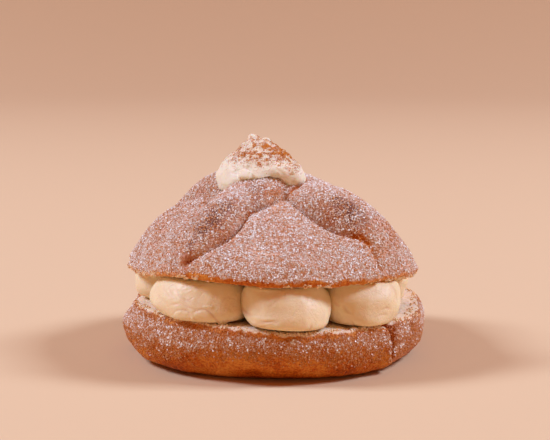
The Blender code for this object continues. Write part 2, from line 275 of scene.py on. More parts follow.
# The oven browns the side towards its foot. Sugar stuck best high on the side and on the bone's end.
# The knife tore a pale ragged line along the rim, wide at the right, and rubbed the sugar off below.
WIDE_TEAR = [(-180, 0), (46, 0), (60, 1.0), (95, 1.0), (110, 0), (180, 0)]
azimuth = np.arctan2(co[:, 0], -co[:, 1])
on_bone_end = smoothstep(0.0, 0.06, azimuth - FOLD_AZIMUTH) * smoothstep(1.9, 1.5, azimuth)
high = smoothstep(1 * MM, 17 * MM, co[:, 2])
below_rim = below_the_rim(co)
wide_tear = around(co, WIDE_TEAR) * MM
tear = below_rim + 0.45 * MM * lumps(co, 2.2 * MM, 61)
torn = smoothstep(0, 1, (0.7 * MM + 1.2 * wide_tear - tear) / (0.4 * MM + 1.8 * wide_tear))
at_sides = np.abs(np.sin(azimuth)) ** 2
rubbed = smoothstep(2.6 * MM, 1.4 * MM, below_rim + 0.5 * MM * lumps(co, 4 * MM, 63)) * (1 - 0.7 * at_sides)
past_fold, gape = round_the_fold(co)
# In the crease beside the bone's end the crust carries little sugar and is painted darker, as shade in the
# crease.
in_fold = smoothstep(-0.6 * MM, 0.2 * MM, past_fold) * smoothstep(1.05, 0.7, past_fold / gape)
# The dent low in front is bare of sugar, and its crust is painted darker, as shade in the hollow.
grains = np.clip(
    0.44 + 0.08 * high + 0.30 * at_sides * high + 0.25 * on_bone_end + 0.06 * lumps(co, 7 * MM, 7)
    - 0.5 * rubbed - 0.75 * in_fold - 0.6 * dent, 0, 1,
) * (1 - cut) * (1 - torn)
keep(
    lower_half,
    cut=np.maximum(cut, torn * (1 - smoothstep(0.9, 1.0, cut))),
    pore=np.clip(1.5 * holes / MM, 0, 1),
    brown=np.clip(0.47 - 0.12 * high + 0.12 * lumps(co, 14 * MM, 5) + 0.18 * in_fold + 0.3 * dent, 0, 1),
    frost=grains * (0.3 + 0.5 * np.maximum(at_sides * high, on_bone_end)) * (1 - in_fold),
    grains=grains,
)
lower_half.data.shade_smooth()


def linear(code):
    """An sRGB hex colour as linear RGBA."""
    parts = [int(code[i:i + 2], 16) / 255 for i in (1, 3, 5)]
    return (*[p / 12.92 if p <= 0.04045 else ((p + 0.055) / 1.055) ** 2.4 for p in parts], 1.0)


def add_node(tree, kind, inputs=None, **settings):
    """Adds a node with its settings. An input that is another node's output is linked, else set."""
    made = tree.nodes.new("ShaderNode" + kind)
    for name, value in settings.items():
        setattr(made, name, value)
    for name, value in (inputs or {}).items():
        if isinstance(value, bpy.types.NodeSocket):
            tree.links.new(value, made.inputs[name])
        else:
            made.inputs[name].default_value = value
    return made


def new_material(name):
    """A material, its nodes and its Principled shader."""
    material = bpy.data.materials.new(name)
    material.use_nodes = True
    return material, material.node_tree, material.node_tree.nodes["Principled BSDF"]


# Baked crust, buttered and rolled in sugar. The oven browns it unevenly, its skin is grainy with
# melted sugar, and a thin pale film of sugar dust lies between the grains. Where the knife went, the
# crumb is pale, matte and porous.
# The crust and its film darken with the oven's browning, and with painted shade added in the creases, the
# hollows, the bones' lower sides and the band over the cut.
CRUST_GRAIN = 0.8 * MM
BROWN_PATCH = 5 * MM
CRUMB_GRAIN = 0.7 * MM
bread, tree, shader = new_material("sugared_sweet_bread")
place = add_node(tree, "TexCoord").outputs["Object"]
brown, frost, cut_face, pore = (
    add_node(tree, "Attribute", attribute_name=name).outputs["Fac"]
    for name in ("brown", "frost", "cut", "pore")
)
patch, speck, crumb_grain = (
    add_node(tree, "TexNoise", {"Vector": place, "Scale": 1 / size, "Detail": detail}).outputs["Fac"]
    for size, detail in ((BROWN_PATCH, 5.0), (CRUST_GRAIN, 2.0), (CRUMB_GRAIN, 3.0))
)
# Where its fine relief is raised the crust is lighter: melted sugar on the grains, with painted highlight on
# the bumps.
patchy = add_node(tree, "Math", {0: patch, 1: 0.5, 2: brown}, operation="MULTIPLY_ADD")
shade = add_node(tree, "Math", {0: speck, 1: -0.9, 2: patchy.outputs[0]}, operation="MULTIPLY_ADD")
crust_colour = add_node(tree, "ValToRGB", {"Fac": shade.outputs[0]})
crust_colour.color_ramp.elements[0].position = 0.0
crust_colour.color_ramp.elements[0].color = linear("#E0913C")
crust_colour.color_ramp.elements[1].position = 0.85
crust_colour.color_ramp.elements[1].color = linear("#6E3012")
middle = crust_colour.color_ramp.elements.new(0.30)
middle.color = linear("#C05E10")
dark = crust_colour.color_ramp.elements.new(0.58)
dark.color = linear("#8C3803")
dusted = add_node(tree, "Math", {0: speck, 1: 0.9, 2: frost}, operation="MULTIPLY_ADD")
dust_share = add_node(
    tree, "MapRange", {"Value": dusted.outputs[0], "From Min": 0.85, "From Max": 1.35, "To Max": 0.8}
)
film = add_node(tree, "MapRange", {"Value": brown, "From Min": 0.3, "From Max": 0.85})
film_colour = add_node(
    tree, "Mix", {0: film.outputs[0], 6: linear("#E3BFAB"), 7: linear("#744A3E")}, data_type="RGBA"
)
sugared = add_node(
    tree, "Mix",
    {0: dust_share.outputs[0], 6: crust_colour.outputs["Color"], 7: film_colour.outputs[2]},
    data_type="RGBA",
)
crumb_colour = add_node(
    tree, "Mix", {0: crumb_grain, 6: linear("#F1CFA3"), 7: linear("#FDEEDA")}, data_type="RGBA"
)
# The pores are painted darker with their depth, as shade in the holes.
crumb_with_pore_shade = add_node(
    tree, "Mix", {0: pore, 6: crumb_colour.outputs[2], 7: linear("#E2B587")}, data_type="RGBA"
)
bread_colour = add_node(
    tree, "Mix", {0: cut_face, 6: sugared.outputs[2], 7: crumb_with_pore_shade.outputs[2]}, data_type="RGBA"
)
tree.links.new(bread_colour.outputs[2], shader.inputs["Base Color"])
rough = add_node(tree, "MapRange", {"Value": dust_share.outputs[0], "To Min": 0.55, "To Max": 0.85})
tree.links.new(rough.outputs[0], shader.inputs["Roughness"])
relief = add_node(tree, "Bump", {"Height": speck, "Strength": 0.9, "Distance": 0.45 * MM})
tree.links.new(relief.outputs[0], shader.inputs["Normal"])
shader.inputs["IOR"].default_value = 1.34
shader.inputs["Specular IOR Level"].default_value = 0.3
shader.inputs["Subsurface Weight"].default_value = 0.15
shader.inputs["Subsurface Radius"].default_value = (1.8 * MM, 0.7 * MM, 0.3 * MM)
shader.inputs["Subsurface Scale"].default_value = 1.0

lower_half.data.materials.append(bread)
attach(lower_half, "root")
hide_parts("lower_half")


# ======================================
# Ring of cream
# Thick pastry cream piped on the cut face in fat dollops, each let go with a twist and pressed flat
# by the crown. It is dense and satin, it wrinkles where it was folded, and its edges lap over.
# ======================================

CREAM_VOXEL = 0.42 * MM  # a few to each wrinkle
RING = [f"cream_dollop_{i}" for i in range(1, 9)]

# The solids' own side is a barrel. Its curve would close at BARREL_REACH times its half-height, and
# it is squarer below the middle than above.
BARREL_REACH, BARREL_BELOW, BARREL_ABOVE = 1.16, 4.4, 3.0

# A dollop's side once the crown pressed it: height share, then its width over its widest.
PRESSED_SIDE = [
    (0.0, 0.84), (0.06, 0.90), (0.12, 0.94), (0.2, 0.98), (0.35, 1.03), (0.5, 1.035), (0.65, 1.0),
    (0.8, 0.94), (0.92, 0.86), (1.0, 0.77),
]
# How the shown ones settled, in millimetres: a shift of the whole dollop as x and y, how far its
# foot crept out over the cut face, how far its head was pushed the other way, and how much wider and
# deeper it was squeezed.
SETTLED = {
    "cream_dollop_1": ((0.2, -1.6), (0.8, -3.8), (-1.2, 0.4), (0.0, 0.0)),
    "cream_dollop_2": ((-1.0, -3.2), (-0.6, -2.8), (0.2, 0.6), (0.5, 0.0)),
    "cream_dollop_3": ((0.2, 2.6), (-0.4, 0.0), (0.0, 0.0), (0.0, 0.0)),
    "cream_dollop_7": ((-0.5, -7.6), (0.2, -2.0), (0.0, 0.0), (0.0, 0.0)),
    "cream_dollop_8": ((2.4, -2.0), (0.2, -3.6), (0.8, 0.8), (2.2, 0.0)),
}

# Seen from the front, as x, height and depth in millimetres, after the half-width: creases where
# the cream was folded, and below them the petals that lapped over, with their middle, half-width,
# half-height and rise.
SCORES = {
    "cream_dollop_1": [
        (0.50, [(-7.4, 22.7, 0.1), (-4.0, 23.8, 0.5), (-1.4, 24.5, 0.5), (2.0, 25.0, 0.1)]),
        (0.45, [(-6.6, 21.6, 0.1), (-3.6, 22.7, 0.4), (-0.4, 23.4, 0.1)]),
        (0.40, [(12.6, 20.8, 0.4), (13.5, 22.2, 0.5), (13.6, 23.6, 0.1)]),
        (0.70, [(-15.0, 26.9, 0.9), (-12.0, 26.5, 0.9), (-9.6, 25.8, 0.6), (-7.4, 25.6, 0.1)]),
        (0.35, [(-1.2, 29.6, 0.1), (0.8, 31.7, 0.25), (2.2, 33.4, 0.1)]),
        (0.35, [(6.2, 25.4, 0.1), (7.3, 27.6, 0.2), (9.5, 29.5, 0.1)]),
    ],
    "cream_dollop_2": [
        (0.40, [(25.6, 27.8, 0.2), (26.6, 26.2, 0.5), (28.0, 25.2, 0.3)]),
        (0.45, [(23.2, 28.0, 0.4), (24.0, 27.4, 0.3)]),
        (0.40, [(28.8, 21.6, 0.2), (29.7, 20.3, 0.5), (31.0, 19.6, 0.2)]),
        (0.40, [(38.4, 24.6, 0.1), (41.4, 26.2, 0.4), (43.6, 25.2, 0.1)]),
        (0.40, [(36.4, 23.0, 0.1), (39.4, 24.0, 0.4), (42.3, 23.6, 0.1)]),
        (0.50, [(43.4, 34.0, 0.3), (45.4, 30.6, 0.4), (45.8, 27.6, 0.1)]),
    ],
    "cream_dollop_8": [
        (0.35, [(-30.6, 25.4, 0.1), (-29.2, 26.3, 0.3), (-27.4, 27.0, 0.4), (-25.4, 27.1, 0.5),
                (-23.6, 26.2, 0.6), (-22.0, 24.6, 0.6), (-20.6, 22.4, 0.5)]),
        (0.35, [(-37.8, 23.6, 0.3), (-36.6, 25.4, 0.4), (-34.8, 26.2, 0.3), (-32.6, 26.4, 0.4),
                (-31.0, 25.6, 0.3)]),
        (0.35, [(-29.8, 25.2, 0.2), (-29.0, 23.6, 0.25), (-27.8, 22.2, 0.1)]),
        (0.40, [(-38.6, 27.5, 0.1), (-36.5, 28.1, 0.4), (-34.4, 28.7, 0.1)]),
        (0.40, [(-32.4, 28.0, 0.1), (-30.2, 27.3, 0.4), (-28.6, 27.1, 0.2)]),
        (0.35, [(-41.7, 32.4, 0.1), (-39.9, 30.9, 0.25), (-37.7, 29.4, 0.1)]),
        (0.35, [(-39.8, 33.2, 0.1), (-38.0, 31.3, 0.25), (-35.5, 29.6, 0.1)]),
        (0.35, [(-36.2, 32.4, 0.1), (-34.0, 30.7, 0.25), (-31.0, 29.4, 0.1)]),
        (0.35, [(-43.6, 29.8, 0.1), (-41.0, 28.3, 0.25), (-39.2, 26.9, 0.1)]),
    ],
}
PETALS = {
    "cream_dollop_8": [
        (-34.4, 22.6, 3.8, 3.5, 0.16), (-25.6, 21.6, 5.2, 5.2, 0.22), (-19.0, 21.0, 2.6, 1.5, 0.9),
        (-24.0, 28.1, 1.9, 0.5, 0.25),
    ],
    "cream_dollop_1": [(-2.6, 23.1, 5.0, 0.8, 0.22), (-4.0, 25.2, 4.0, 0.6, 0.12)],
}


def smooth_line(rows, steps=8):
    """Catmull-Rom points through the rows."""
    rows = np.array([rows[0], *rows, rows[-1]], float)
    t = (np.arange(steps) / steps)[:, None]
    runs = [
        0.5 * (2 * b + (c - a) * t + (2 * a - 5 * b + 4 * c - d) * t**2 + (3 * b - a - 3 * c + d) * t**3)
        for a, b, c, d in zip(rows, rows[1:], rows[2:], rows[3:])
    ]
    return np.vstack([*runs, rows[-1:]])


def squeezed_cream(node, seed):
    """A dollop that the crown pressed, with the soft ridges and wrinkles of piped cream."""
    piece = copy_of_node(node, node.replace("cream", "piped"))
    low, high = [np.array(corner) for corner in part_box(node)]
    middle = (low[:2] + high[:2]) / 2
    shift, crept, pushed, wider = [np.array(step) * MM for step in SETTLED.get(node, [(0, 0)] * 4)]

    # The solid's own side is divided out, and the pressed side takes its place.
    co = points(piece)
    level = np.clip((co[:, 2] - low[2]) / (high[2] - low[2]), 0, 1)
    from_middle = 2 * np.abs(level - 0.5) / BARREL_REACH
    plain = np.sqrt(1 - from_middle ** np.where(level < 0.5, BARREL_BELOW, BARREL_ABOVE))
    pressed = np.interp(level, *np.array(PRESSED_SIDE).T)
    squeezed = 1 + 2 * wider / (high[:2] - low[:2])
    co[:, :2] = middle + shift + (co[:, :2] - middle) * squeezed * (pressed / plain)[:, None]
    co[:, :2] += crept * smoothstep(0.6, 0.05, level)[:, None]
    co[:, :2] += pushed * smoothstep(0.5, 0.95, level)[:, None]
    move_points(piece, co)
    modify(piece, "REMESH", mode="VOXEL", voxel_size=CREAM_VOXEL)
    modify(piece, "SMOOTH", factor=0.5, iterations=70)

    co, out = points(piece), outwards(piece)
    side = smoothstep(0.97, 0.7, np.abs(out[:, 2]))
    swirl = 0.45 * MM * lumps(co, (12 * MM, 12 * MM, 6 * MM), seed)
    bend = co + 2.2 * MM * np.stack([lumps(co, 7 * MM, seed + k) for k in (11, 17, 23)], axis=1)
    wrinkle = 1 - np.abs(lumps(bend, (3.4 * MM, 3.4 * MM, 1.5 * MM), seed + 31))
    crack = smoothstep(0.86, 1.0, wrinkle) * smoothstep(-0.1, 0.6, lumps(co, 8 * MM, seed + 41))
    fine = lumps(bend, (1.6 * MM, 1.6 * MM, 0.9 * MM), seed + 51)
    front = smoothstep(-0.1, -0.5, out[:, 1])
    scored = np.zeros(len(co))
    for width, rows in SCORES.get(node, []):
        for x, z, depth in smooth_line(rows) * MM:
            near = from_spot(co, x, z, width * MM, width * MM)
            scored = np.maximum(scored, depth * bell(near) * front)
    lapped = np.zeros(len(co))
    for *petal, rise in PETALS.get(node, []):
        out_of = from_spot(co / MM, *petal)
        lapped = np.maximum(lapped, rise * MM * smoothstep(1.08, 0.9, out_of) * front)
    wrinkled = 1.0 if node == "cream_dollop_8" else 0.45
    relief = swirl - wrinkled * (0.12 * MM * crack - 0.04 * MM * fine)
    co += out * (side * relief + lapped - 0.6 * scored)[:, None]
    move_points(piece, co)
    # This layer is painted shade: darker along the scored creases and the cracks of the skin.
    fold = np.clip(0.4 * wrinkled * crack * side + scored / (0.8 * MM), 0, 1)
    keep(piece, fold=fold, dust=np.zeros(len(co)), airy=np.zeros(len(co)))
    piece.data.shade_smooth()
    return piece


# Pastry cream folded with whipped cream: fine grained, satin, and light enters it a few millimetres.
# Its skin dried in fine cracks, and it is yellower in the ring than where it was whipped airy.
CREAM_TONE_PATCH = 7 * MM
CREAM_GRAIN = 0.9 * MM
SKIN_CRACKLE = 2.2 * MM
cream, tree, shader = new_material("piped_pastry_cream")
place = add_node(tree, "TexCoord").outputs["Object"]
fold, airy, dust = (
    add_node(tree, "Attribute", attribute_name=name).outputs["Fac"] for name in ("fold", "airy", "dust")
)
tone = add_node(tree, "TexNoise", {"Vector": place, "Scale": 1 / CREAM_TONE_PATCH, "Detail": 3.0})
cream_tone = add_node(
    tree, "Mix", {0: tone.outputs["Fac"], 6: linear("#EECF98"), 7: linear("#F8E4BC")}, data_type="RGBA"
)
whipped = add_node(
    tree, "Mix", {0: airy, 6: cream_tone.outputs[2], 7: linear("#F3E6C8")}, data_type="RGBA"
)
# The cream darkens towards this colour in its creases, cracks and pits, as painted shade.
cream_colour = add_node(
    tree, "Mix", {0: fold, 6: whipped.outputs[2], 7: linear("#E2B98C")}, data_type="RGBA"
)
stained = add_node(
    tree, "Mix", {0: dust, 6: cream_colour.outputs[2], 7: linear("#E68E22")}, data_type="RGBA"
)
tree.links.new(stained.outputs[2], shader.inputs["Base Color"])
grain = add_node(tree, "TexNoise", {"Vector": place, "Scale": 1 / CREAM_GRAIN, "Detail": 3.0})
soft = add_node(tree, "Bump", {"Height": grain.outputs["Fac"], "Strength": 0.3, "Distance": 0.2 * MM})
skin = add_node(
    tree, "TexNoise", {"Vector": place, "Scale": 1 / SKIN_CRACKLE, "Detail": 4.0, "Distortion": 0.6}
)
ridge = add_node(tree, "Math", {0: skin.outputs["Fac"], 1: 0.5}, operation="SUBTRACT")
ridge = add_node(tree, "Math", {0: ridge.outputs[0]}, operation="ABSOLUTE")
crackle = add_node(tree, "MapRange", {"Value": ridge.outputs[0], "From Max": 0.035})
crackled = add_node(
    tree, "Bump",
    {"Height": crackle.outputs[0], "Normal": soft.outputs[0], "Strength": 0.5, "Distance": 0.12 * MM},
)
tree.links.new(crackled.outputs[0], shader.inputs["Normal"])
shader.inputs["Roughness"].default_value = 0.48
shader.inputs["IOR"].default_value = 1.45
shader.inputs["Subsurface Weight"].default_value = 0.5
shader.inputs["Subsurface Radius"].default_value = (2.4 * MM, 1.6 * MM, 0.9 * MM)
shader.inputs["Subsurface Scale"].default_value = 1.0

for index, node in enumerate([*RING, "cream_middle"]):
    dollop = squeezed_cream(node, 3.7 * index)
    dollop.data.materials.append(cream)
    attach(dollop, "root")
    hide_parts(node)


# ======================================
# Crown
# The domed top of the bun with its bones: two knuckled ropes of the same dough, laid crosswise
# before baking and fused to it. The dough between them rose against them, so deep creases stay.
# ======================================

crown_low = Vector(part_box("crown")[0])

# The dome without its bones: radius and height down its side to the knife cut, in millimetres.
DOME_SIDE = [
    (0, 67.0), (5, 66.9), (10, 66.2), (20, 63.4), (30, 59.0), (40, 53.2), (48, 47.5), (53, 43.0),
    (55.8, 39.3), (57.0, 37.2), (56.8, 35.8), (56.0, 35.0),
]
DOME_LEAN = -6 * MM  # how far its top lies from the middle along X
DOME_SHIFT = -0.8 * MM  # and how far all of it lies from the middle
LEFT_FLANK_FLAT = 3.2 * MM  # its left side is straighter than its right
LEFT_FLANK_HEIGHT, LEFT_FLANK_SPREAD = 45.5 * MM, 8 * MM
CUT_HEIGHT, CUT_FALL = 36 * MM, 0.012  # the knife's height in the middle, and its fall to the right
# How far the rim lies over the knife's plane, in millimetres, by azimuth from the front in degrees.
# The crown sags over the cream at its left and right, and its front is held up.
RIM_SWAY = [
    (-180, 0), (-130, -1.2), (-90, -2.6), (-75, -2.2), (-58, -0.5), (-48, 1.1), (-38, 2.2), (-24, 2.1),
    (-14, 1.7), (-5, 1.2), (13, 1.2), (20, 0.5), (39, 0.5), (52, -0.3), (70, -1.5), (90, -2.6),
    (130, -1.2), (180, 0),
]

# The bones: x, y, half-width and rise over the dome, in millimetres, from one end to the other.
OVER_BONE = [
    (-34.4, -43.8, 2.2, 1.4), (-32.2, -41.6, 4.4, 3.0), (-28.2, -38.8, 7.0, 4.8),
    (-23.4, -34.2, 9.2, 6.0), (-18.8, -28.4, 10.2, 6.6), (-13.0, -21.6, 9.8, 5.8),
    (-5.4, -13.8, 10.2, 6.2), (0.6, -5.2, 9.8, 5.6), (6.5, 6.0, 9.4, 5.0), (13.5, 16.0, 10.6, 6.0),
    (21.0, 24.5, 10.8, 5.8), (27.6, 30.8, 10.6, 4.6), (34.0, 35.6, 12.0, 3.4), (40.0, 41.0, 13.0, 2.0),
]
UNDER_BONE = [
    (7.0, -9.4, 7.6, 1.0), (13.0, -14.4, 9.4, 6.2), (19.8, -18.4, 12.0, 9.8), (26.6, -20.4, 13.0, 10.4),
    (33.4, -21.6, 14.0, 8.8), (39.4, -23.0, 15.4, 5.6), (45.0, -24.8, 17.0, 3.6), (51.0, -27.0, 18.0, 1.2),
]
BACK_BONE = [
    (-6.0, 0.5, 8.6, 2.5), (-15.0, 5.4, 10.4, 5.8), (-23.0, 8.0, 10.4, 5.4), (-30.0, 9.4, 9.4, 3.4),
    (-36.6, 10.6, 8.6, 1.4), (-42.0, 10.0, 9.0, 1.6), (-47.0, 9.4, 11.0, 3.2), (-52.0, 9.0, 12.0, 2.6),
]
BONE_ROUNDNESS = 0.55  # 0.5 is a half ellipse across the rope

# Where the front of the dough rose against the bones: x, y and the rise of its lip, from the
# summit down each side, in millimetres.
FRONT_LIP_RIGHT = [
    (5.6, -22.0, 0.4), (8.8, -27.0, 1.4), (12.2, -30.4, 2.0), (17.4, -33.2, 2.4), (20.6, -34.6, 2.5),
    (25.0, -34.2, 2.6), (30.6, -33.8, 2.8), (34.6, -34.4, 3.0), (36.8, -37.4, 3.0), (38.2, -40.4, 2.8),
    (41.0, -45.0, 2.2),
]
FRONT_LIP_LEFT = [
    (1.6, -22.6, 0.3), (-1.5, -26.4, 0.8), (-5.3, -28.6, 1.2), (-8.6, -31.0, 1.7), (-11.2, -35.6, 2.2),
    (-13.4, -39.4, 2.4), (-17.0, -42.4, 2.4), (-22.0, -44.2, 2.2), (-27.4, -45.2, 1.6), (-32.4, -45.4, 0.6),
    (-34.6, -45.6, 0.0),
]
LIP_REACH = 9 * MM
PANEL_FOOT = [[47.0, -58.0], [0.0, -80.0], [-40.0, -58.0]]  # its outline runs on outside the rim
FRONT_SWELL, FRONT_SWELL_MIDDLE = 1.0 * MM, (2 * MM, -42 * MM)
# A soft ridge where the dough left of the bones rose against the rear one: x, y and rise.
LEFT_RIDGE = [
    (-24.0, -12.0, 0.6), (-33.0, -9.6, 1.2), (-40.0, -8.6, 1.5), (-45.0, -12.4, 1.4), (-50.0, -20.0, 0.8),
]
LEFT_RIDGE_WIDTH = 4.5 * MM

# Creases pressed beside the bones: x, y and depth, and each crease's half-width, in millimetres.
CREASES = [
    (1.0, [(1.6, -22.0, 0.2), (-3.4, -27.0, 1.5), (-8.6, -30.6, 2.2), (-12.4, -38.0, 2.4),
           (-17.0, -42.0, 2.4), (-24.0, -44.4, 2.0), (-31.0, -44.6, 1.6), (-34.4, -43.8, 1.0)]),
    (1.0, [(4.6, -19.6, 0.6), (9.0, -26.8, 1.8), (13.6, -31.0, 2.2), (20.6, -34.2, 2.2),
           (30.6, -33.2, 2.0), (35.0, -34.2, 1.6), (38.2, -40.0, 1.2), (41.0, -45.0, 0.8)]),
    (2.0, [(-20.4, -9.0, 1.2), (-24.0, -17.0, 1.8), (-27.6, -24.6, 2.0), (-29.4, -31.0, 2.2),
           (-32.4, -37.0, 2.2), (-35.4, -41.0, 1.8), (-36.4, -44.4, 0.6)]),
    (1.6, [(-13.0, -7.0, 1.4), (-21.0, -6.2, 1.5), (-30.0, -4.0, 1.3), (-38.0, -2.4, 1.2),
           (-43.0, -3.6, 1.3), (-48.0, -8.0, 1.3), (-53.0, -14.0, 0.9)]),
    (1.3, [(4.4, -18.6, 0.8), (8.4, -15.2, 2.6), (10.6, -11.0, 2.6), (15.0, -7.0, 2.2)]),
    (1.8, [(15.0, -7.0, 2.2), (24.0, -6.6, 2.0), (34.0, -6.0, 1.0), (44.0, -4.0, 0.4)]),
    (1.4, [(-13.0, 11.0, 1.0), (-24.0, 18.4, 1.3), (-34.0, 20.0, 0.8), (-44.0, 24.0, 0.4)]),
    (1.3, [(1.0, 10.0, 1.0), (8.0, 22.0, 1.5), (17.0, 31.6, 1.3), (26.0, 40.0, 0.8), (30.0, 46.0, 0.4)]),
    (1.3, [(11.0, 0.0, 0.6), (17.0, 6.0, 1.4), (27.0, 16.4, 1.5), (38.0, 24.6, 1.0), (46.0, 28.0, 0.5)]),
]
# Pits that burst bubbles left: x, y, depth and half-width, in millimetres.
PITS = [(7.6, -16.4, 2.2, 1.5), (-25.4, -7.4, 1.6, 1.3), (-4.0, -32.6, 0.9, 0.8)]
# Flakes of crust that the knife lifted or pressed in at the sides of the rim: x, y, z and how far
# they stand out, in millimetres.
RIM_FLAKES = [(-57.4, -4.0, 33.6, 1.8), (-57.0, -6.0, 38.5, -0.9), (57.0, -6.0, 33.0, 1.6)]
FLAKE_SIZE = 2.2 * MM


# The dome starts as a ball whose upper half takes the crust's outline and whose lower half is
# pressed flat into the cut face.
bpy.ops.object.select_all(action="DESELECT")
bpy.ops.mesh.primitive_uv_sphere_add(segments=240, ring_count=180, radius=1.0)
crown = bpy.context.view_layer.objects.active
crown.name = crown.data.name = "crown_bread"
side = smooth_line(DOME_SIDE) * MM
run = np.concatenate([[0], np.cumsum(np.linalg.norm(np.diff(side, axis=0), axis=1))])
co = points(crown)
fall = np.arccos(np.clip(co[:, 2], -1, 1)) / math.pi * 2  # 0 at the top, 1 at the rim, 2 below
turn = np.arctan2(co[:, 1], co[:, 0])
on_skin = np.clip(fall, 0, 1) * run[-1]
reach = np.interp(on_skin, run, side[:, 0]) * np.clip(2 - fall, 0, 1) ** 0.8
height = np.interp(on_skin, run, side[:, 1])
height_share = np.clip((height - CUT_HEIGHT) / (side[0, 1] - CUT_HEIGHT), 0, 1)
left_flank = bell((height - LEFT_FLANK_HEIGHT) / LEFT_FLANK_SPREAD) * smoothstep(0.1, 0.9, -np.cos(turn))
lean = DOME_SHIFT + (DOME_LEAN - DOME_SHIFT) * height_share + LEFT_FLANK_FLAT * left_flank
move_points(crown, np.stack([reach * np.cos(turn) + lean, reach * np.sin(turn), height], axis=1))
modify(crown, "REMESH", mode="VOXEL", voxel_size=BREAD_VOXEL)


def on_dome(rows):
    """Rows of x, y and more in millimetres, as smooth points on the dome, with the rest in metres."""
    line = smooth_line(rows) * MM
    skin = [crown.ray_cast(Vector((x, y, 0.2)), Vector((0, 0, -1)))[1] for x, y in line[:, :2]]
    return [(np.array(place), row[2:]) for place, row in zip(skin, line) if place.z > 0]


def rope(co, rows):
    """Height over the dome of a rope of dough, at each point."""
    height = np.zeros(len(co))
    for place, (width, rise) in on_dome(rows):
        share = np.clip(1 - (np.linalg.norm(co - place, axis=1) / width) ** 2, 0, 1)
        height = np.maximum(height, rise * share**BONE_ROUNDNESS)
    return height


def lip(co, rows, reach):
    """Rise of the dough's edge along a line, dying away over reach."""
    height = np.zeros(len(co))
    for place, (rise,) in on_dome(rows):
        height = np.maximum(height, rise * np.exp(-np.linalg.norm(co - place, axis=1) / reach))
    return height


def groove(co, rows, half_width):
    """Depth of a crease pressed along a line."""
    depth = np.zeros(len(co))
    for place, (deep,) in on_dome(rows):
        depth = np.maximum(depth, deep * bell(np.linalg.norm(co - place, axis=1) / half_width))
    return depth


def inside(co, outline):
    """True for each point whose plan lies inside the outline, in millimetres."""
    x, y = co[:, 0] / MM, co[:, 1] / MM
    within = np.zeros(len(co), bool)
    for (ax, ay), (bx, by) in zip(outline, outline[1:] + outline[:1]):
        if ay != by:
            crosses = (ay > y) != (by > y)
            within ^= crosses & (x < ax + (y - ay) * (bx - ax) / (by - ay))
    return within


co, out = points(crown), outwards(crown)
over, under, back = (rope(co, rows) for rows in (OVER_BONE, UNDER_BONE, BACK_BONE))
bones = np.maximum(np.maximum(over, under), back)
right_edge = smooth_line([row[:2] for row in FRONT_LIP_RIGHT]).tolist()
left_edge = smooth_line([row[:2] for row in FRONT_LIP_LEFT]).tolist()
panel = inside(co, [*left_edge[::-1], *right_edge, *PANEL_FOOT])
from_swell = np.linalg.norm(co[:, :2] - FRONT_SWELL_MIDDLE, axis=1)
rise = np.maximum(lip(co, FRONT_LIP_RIGHT, LIP_REACH), lip(co, FRONT_LIP_LEFT, LIP_REACH))
rise += FRONT_SWELL * smoothstep(26 * MM, 6 * MM, from_swell)
ridge = groove(co, LEFT_RIDGE, LEFT_RIDGE_WIDTH)
relief = np.where(panel, rise, np.maximum(bones, ridge))
crease = np.max([groove(co, rows, width * MM) for width, rows in CREASES], axis=0)
for x, y, depth, width in PITS:
    crease = np.maximum(crease, groove(co, [(x, y, depth), (x + 0.6, y, depth)], width * MM))
upper = smoothstep(-0.4, 0.1, out[:, 2])
lumpy = 0.40 * MM * lumps(co, 15 * MM, 2) + 0.14 * MM * lumps(co, 3.6 * MM, 6)
co_skin = co + out * (upper * (relief - crease + lumpy))[:, None]

# The knife's cut falls a little to the right, and the rim sways.
low = smoothstep(16 * MM, 0, co[:, 2] - CUT_HEIGHT)
near_rim = smoothstep(BREAD_RADIUS - 16 * MM, BREAD_RADIUS - 5 * MM, reach_of(co))
co_skin[:, 2] += low * (around(co, RIM_SWAY) * MM * near_rim - CUT_FALL * co[:, 0])
move_points(crown, co_skin)
modify(crown, "REMESH", mode="VOXEL", voxel_size=BREAD_VOXEL)


def nearest_of(old, new):
    """Which of the old points lies nearest to each new point."""
    tree = kdtree.KDTree(len(old))
    for i, place in enumerate(old):
        tree.insert(place, i)
    tree.balance()
    return [tree.find(place)[1] for place in new]


# The remeshed skin keeps the bones, the creases and the way the bare dome faces, from the old skin.
nearest = nearest_of(co_skin, points(crown))
bone, dent = (np.where(panel, 0, bones) / MM)[nearest], (crease / MM)[nearest]
dome_out = out[nearest]
cut = knife_cut(crown, -1)
modify(crown, "SMOOTH", factor=0.5, iterations=4, vertex_group=weights(crown, "rounded", 1 - cut))
co, out = points(crown), outwards(crown)
cut = knife_cut(crown, -1)
reach = reach_of(co)
height = co[:, 2] - crown_low.z
rim = smoothstep(6 * MM, 1 * MM, height) * smoothstep(0.86, 0.93, reach / BREAD_RADIUS)
co[:, 2] += rim * (0.40 * MM * lumps(co, 5 * MM, 8) + 0.25 * MM * lumps(co, 1.8 * MM, 4))
co[:, 2] += cut * (1 - rim) * pores(co, 50)
for x, y, z, flare in RIM_FLAKES:
    near = np.linalg.norm(co - np.array([x, y, z]) * MM, axis=1) / FLAKE_SIZE
    co[:, 0] += math.copysign(flare * MM, x) * bell(near)
move_points(crown, co)

